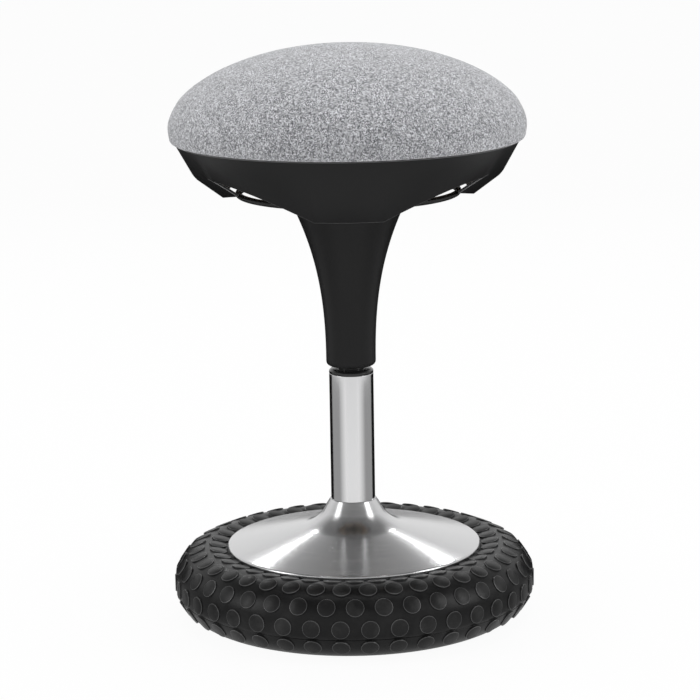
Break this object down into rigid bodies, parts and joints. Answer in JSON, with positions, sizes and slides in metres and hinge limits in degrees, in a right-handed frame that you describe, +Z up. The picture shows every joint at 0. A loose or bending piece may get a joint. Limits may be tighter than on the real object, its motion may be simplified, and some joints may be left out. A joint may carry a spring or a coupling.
{
  "type": "wobble stool",
  "caption": "Round padded stool on a height-adjustable gas column, with a ring handle under the seat and a weighted round base ringed by a studded rubber tyre that it rocks on.",
  "frame": {"origin": "on the floor, under the middle of the column", "axes": "+Z up along the column; the front, as the picture sees it, towards -Y; +X to its right"},
  "size_m": [0.4106, 0.4106, 0.6487],
  "materials": {
    "tyre_rubber": "satin black moulded rubber",
    "rim_black": "satin black",
    "brushed_plate": "circular brushed",
    "black_paint": "satin black",
    "cast_iron": "rough cast, black primer",
    "zinc_screws": "zinc plated",
    "chrome_tube": "polished chrome",
    "gloss_black": "gloss black moulding",
    "bearing_steel": "ground",
    "nylon_natural": "natural nylon",
    "rod_chrome": "hard chrome",
    "nylon_black": "black nylon",
    "buffer_rubber": "matt black rubber",
    "cylinder_black": "gloss black paint",
    "pin_steel": "bright steel",
    "shell_black": "satin black moulding",
    "ring_black": "satin black coated wire",
    "plywood": "raw birch plywood",
    "cushion_foam": "moulded foam",
    "grey_weave": "light grey melange weave"
  },
  "bodies": {
    "base": {"tyre": "tyre_rubber", "rim": "rim_black", "base_plate": "brushed_plate", "bottom_pan": "black_paint", "ballast_ring": "cast_iron", "ballast_screws": "zinc_screws", "hub_sleeve": "black_paint", "outer_tube": "chrome_tube", "guide_bush": "gloss_black", "lower_race": "bearing_steel", "bearing_balls": "bearing_steel", "ball_cage": "nylon_natural"},
    "rod": {"piston_rod": "rod_chrome", "piston": "nylon_black", "upper_race": "bearing_steel", "rubber_buffer": "buffer_rubber", "end_washer": "zinc_screws", "rod_clip": "bearing_steel"},
    "seat": {"gas_cylinder": "cylinder_black", "seal_head": "nylon_black", "shroud": "shell_black", "shroud_screws": "zinc_screws", "taper_socket": "black_paint", "seat_plate": "black_paint", "seat_screws": "zinc_screws", "tee_nuts": "zinc_screws", "fulcrum_cup": "nylon_black", "seat_board": "plywood", "seat_foam": "cushion_foam", "seat_cover": "grey_weave", "under_shell": "shell_black", "shell_screws": "zinc_screws"},
    "release": {"lever_plate": "black_paint", "release_ring": "ring_black"},
    "valve": {"valve_pin": "pin_steel"}
  },
  "joints": [
    {"name": "seat_swivel", "type": "hinge", "parent": "base", "child": "rod", "pos_m": [0, 0, 0], "axis": [0, 0, 1], "continuous": true},
    {"name": "seat_height", "type": "slide", "parent": "rod", "child": "seat", "axis": [0, 0, 1], "range_m": [0, 0.13]},
    {"name": "ring_lift", "type": "hinge", "parent": "seat", "child": "release", "pos_m": [0, -0.022, 0.51745], "axis": [-1, 0, 0], "range_deg": [0, 6.5], "stiffness_Nm_per_rad": 6, "springref_deg": -5.73},
    {"name": "valve_press", "type": "slide", "parent": "seat", "child": "valve", "axis": [0, 0, -1], "range_m": [0, 0.0025]}
  ],
  "couplings": [
    {"joint": "valve_press", "follows": "ring_lift", "m_per_rad": 0.022}
  ]
}
